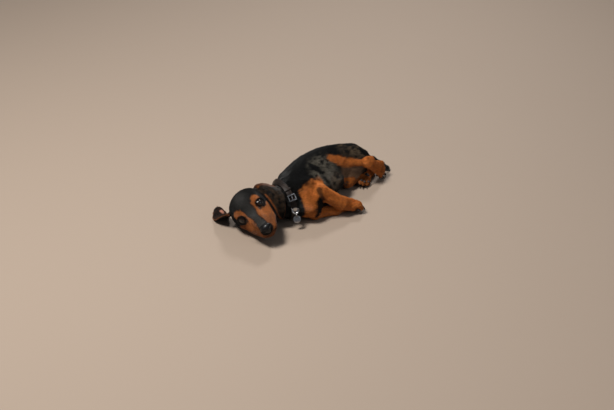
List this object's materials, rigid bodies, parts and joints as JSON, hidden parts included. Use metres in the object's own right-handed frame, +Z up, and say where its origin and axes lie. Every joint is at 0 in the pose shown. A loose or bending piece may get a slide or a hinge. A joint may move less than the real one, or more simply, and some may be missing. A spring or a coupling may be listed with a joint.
{
  "type": "dog figure",
  "caption": "Still life-size model of a small smooth-haired puppy lying curled on its side, head turned back, with a buckled collar, ring and tag.",
  "frame": {"origin": "on the floor, under the middle of the model's bounding box", "axes": "+X from the head end towards the tail and hind feet, -Y towards the side that the face looks to, +Z up"},
  "size_m": [0.371, 0.3444, 0.0877],
  "materials": {
    "coat_black": "short glossy fur, near black",
    "coat_dapple": "short glossy fur, silver grey with black mottling",
    "coat_tan": "short fur, orange tan to brown",
    "nose": "damp pebbled skin",
    "eye": "polished, wet looking",
    "collar_strap": "dark worn leather",
    "collar_metal": "polished"
  },
  "bodies": {
    "root": {"head": "coat_black", "neck": "coat_black", "tail": "coat_black", "ear_left": "coat_black", "ear_right": "coat_black", "trunk": "coat_dapple", "hindleg_left_upper": "coat_dapple", "hindleg_right_upper": "coat_dapple", "foreleg_right_upper": "coat_tan", "foreleg_right_lower": "coat_tan", "forepaw_right": "coat_tan", "foreleg_left_upper": "coat_tan", "foreleg_left_lower": "coat_tan", "forepaw_left": "coat_tan", "hindleg_right_lower": "coat_tan", "hindpaw_right": "coat_tan", "hindleg_left_lower": "coat_tan", "hindpaw_left": "coat_tan", "nose": "nose", "eye_left": "eye", "eye_right": "eye", "collar_strap": "collar_strap", "collar_buckle": "collar_metal", "collar_d_ring": "collar_metal", "collar_loop": "collar_metal", "collar_link": "collar_metal", "collar_tag": "collar_metal", "collar_keeper": "collar_strap"}
  },
  "joints": []
}
